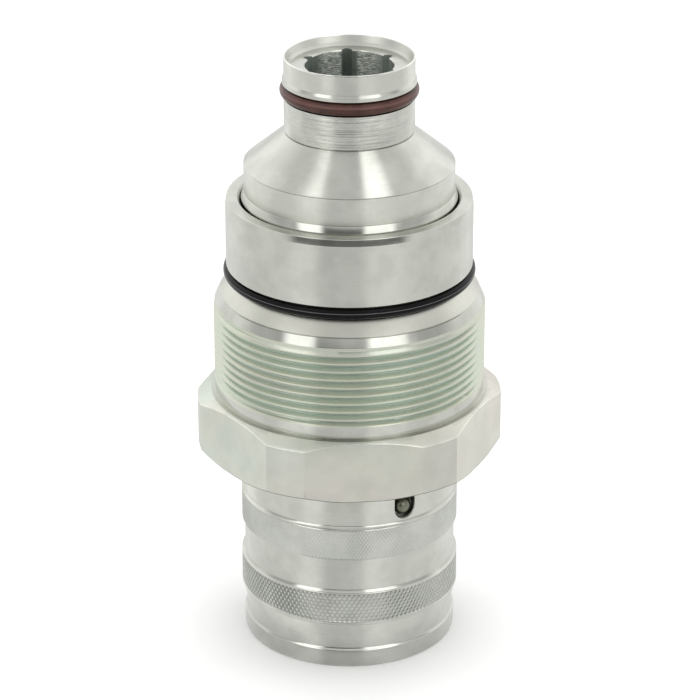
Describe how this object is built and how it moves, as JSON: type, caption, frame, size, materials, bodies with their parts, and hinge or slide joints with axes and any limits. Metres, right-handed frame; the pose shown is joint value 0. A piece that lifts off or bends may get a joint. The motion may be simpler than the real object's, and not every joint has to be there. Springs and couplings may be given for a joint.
{
  "type": "screw-in flat-face quick-coupler cartridge valve",
  "caption": "Screw-in hydraulic quick-coupler cartridge: hex carrier with fine thread, spring-loaded sliding core, knurled ball-locking sleeve and a shut-off valve inside.",
  "frame": {"origin": "on the long axis in the plane of the sleeve's coupling rim, the bottom centre of the box; the hexagon's seat face is 46.95 mm above it", "axes": "+Z along the long axis towards the nose that goes into the block, -Z towards the coupling face; +X and +Y across it, the lock ball in its notch lies towards -Y and slightly +X"},
  "size_m": [0.054, 0.0518, 0.1082],
  "materials": {
    "steel_body": "zinc-nickel plated, turned, bright",
    "steel_collar": "plated, turned, soft satin",
    "rubber_black": "black nitrile, matte",
    "steel_inner": "turned",
    "spring_steel": "spring steel",
    "ptfe": "filled PTFE",
    "steel_nose": "plated, turned, fine turning lines on the neck",
    "rubber_brown": "brown fluoro rubber, satin",
    "ball_steel": "polished bearing ball",
    "steel_sleeve": "plated, turned, two knurled bands",
    "steel_bright": "ground"
  },
  "bodies": {
    "carrier": {"hex_body": "steel_body", "guide_collar": "steel_collar", "body_oring": "rubber_black", "spring_seat": "steel_inner", "seat_circlip": "spring_steel", "rod_seal": "rubber_black", "wiper_ring": "ptfe", "return_spring": "spring_steel"},
    "core": {"nose_adapter": "steel_nose", "nose_oring": "rubber_brown", "adapter_seal": "rubber_black", "valve_housing": "steel_inner", "stem": "steel_inner", "stem_seal": "rubber_black", "spider": "steel_inner", "stem_nut": "steel_inner", "tube_seal": "rubber_black", "tube_backup_ring": "ptfe", "lock_ball": "ball_steel", "core_circlip": "spring_steel", "sleeve_stop_ring": "spring_steel", "valve_spring": "spring_steel", "ring_spring": "spring_steel", "sleeve_spring": "spring_steel"},
    "sleeve": {"locking_sleeve": "steel_sleeve"},
    "valve_tube_body": {"valve_tube": "steel_bright", "face_seal": "rubber_black"},
    "retainer": {"retainer_ring": "steel_bright"},
    "ball_01": {"locking_ball_01": "ball_steel"},
    "ball_02": {"locking_ball_02": "ball_steel"},
    "ball_03": {"locking_ball_03": "ball_steel"},
    "ball_04": {"locking_ball_04": "ball_steel"},
    "ball_05": {"locking_ball_05": "ball_steel"},
    "ball_06": {"locking_ball_06": "ball_steel"},
    "ball_07": {"locking_ball_07": "ball_steel"},
    "ball_08": {"locking_ball_08": "ball_steel"},
    "ball_09": {"locking_ball_09": "ball_steel"},
    "ball_10": {"locking_ball_10": "ball_steel"},
    "ball_11": {"locking_ball_11": "ball_steel"},
    "ball_12": {"locking_ball_12": "ball_steel"}
  },
  "joints": [
    {"name": "core_slide", "type": "slide", "parent": "carrier", "child": "core", "axis": [0, 0, 1], "range_m": [0, 0.0025], "stiffness_N_per_m": 20000, "springref_m": -0.002, "deforming": ["return_spring"]},
    {"name": "sleeve_slide", "type": "slide", "parent": "core", "child": "sleeve", "axis": [0, 0, 1], "range_m": [-0.0047, 0], "deforming": ["sleeve_spring"]},
    {"name": "tube_slide", "type": "slide", "parent": "core", "child": "valve_tube_body", "axis": [0, 0, 1], "range_m": [0, 0.008], "deforming": ["valve_spring"]},
    {"name": "retainer_slide", "type": "slide", "parent": "core", "child": "retainer", "axis": [0, 0, 1], "range_m": [0, 0.008], "deforming": ["ring_spring"]},
    {"name": "ball_01_slide", "type": "slide", "parent": "core", "child": "ball_01", "axis": [-0.9914, -0.1305, 0], "range_m": [0, 0.001]},
    {"name": "ball_02_slide", "type": "slide", "parent": "core", "child": "ball_02", "axis": [-0.7934, -0.6088, 0], "range_m": [0, 0.001]},
    {"name": "ball_03_slide", "type": "slide", "parent": "core", "child": "ball_03", "axis": [-0.3827, -0.9239, 0], "range_m": [0, 0.001]},
    {"name": "ball_04_slide", "type": "slide", "parent": "core", "child": "ball_04", "axis": [0.1305, -0.9914, 0], "range_m": [0, 0.001]},
    {"name": "ball_05_slide", "type": "slide", "parent": "core", "child": "ball_05", "axis": [0.6088, -0.7934, 0], "range_m": [0, 0.001]},
    {"name": "ball_06_slide", "type": "slide", "parent": "core", "child": "ball_06", "axis": [0.9239, -0.3827, 0], "range_m": [0, 0.001]},
    {"name": "ball_07_slide", "type": "slide", "parent": "core", "child": "ball_07", "axis": [0.9914, 0.1305, 0], "range_m": [0, 0.001]},
    {"name": "ball_08_slide", "type": "slide", "parent": "core", "child": "ball_08", "axis": [0.7934, 0.6088, 0], "range_m": [0, 0.001]},
    {"name": "ball_09_slide", "type": "slide", "parent": "core", "child": "ball_09", "axis": [0.3827, 0.9239, 0], "range_m": [0, 0.001]},
    {"name": "ball_10_slide", "type": "slide", "parent": "core", "child": "ball_10", "axis": [-0.1305, 0.9914, 0], "range_m": [0, 0.001]},
    {"name": "ball_11_slide", "type": "slide", "parent": "core", "child": "ball_11", "axis": [-0.6088, 0.7934, 0], "range_m": [0, 0.001]},
    {"name": "ball_12_slide", "type": "slide", "parent": "core", "child": "ball_12", "axis": [-0.9239, 0.3827, 0], "range_m": [0, 0.001]}
  ],
  "couplings": [
    {"joint": "tube_slide", "follows": "sleeve_slide", "ratio": -1.7},
    {"joint": "retainer_slide", "follows": "sleeve_slide", "ratio": -1.7},
    {"joint": "ball_01_slide", "follows": "sleeve_slide", "ratio": -0.2127},
    {"joint": "ball_02_slide", "follows": "sleeve_slide", "ratio": -0.2127},
    {"joint": "ball_03_slide", "follows": "sleeve_slide", "ratio": -0.2127},
    {"joint": "ball_04_slide", "follows": "sleeve_slide", "ratio": -0.2127},
    {"joint": "ball_05_slide", "follows": "sleeve_slide", "ratio": -0.2127},
    {"joint": "ball_06_slide", "follows": "sleeve_slide", "ratio": -0.2127},
    {"joint": "ball_07_slide", "follows": "sleeve_slide", "ratio": -0.2127},
    {"joint": "ball_08_slide", "follows": "sleeve_slide", "ratio": -0.2127},
    {"joint": "ball_09_slide", "follows": "sleeve_slide", "ratio": -0.2127},
    {"joint": "ball_10_slide", "follows": "sleeve_slide", "ratio": -0.2127},
    {"joint": "ball_11_slide", "follows": "sleeve_slide", "ratio": -0.2127},
    {"joint": "ball_12_slide", "follows": "sleeve_slide", "ratio": -0.2127}
  ]
}
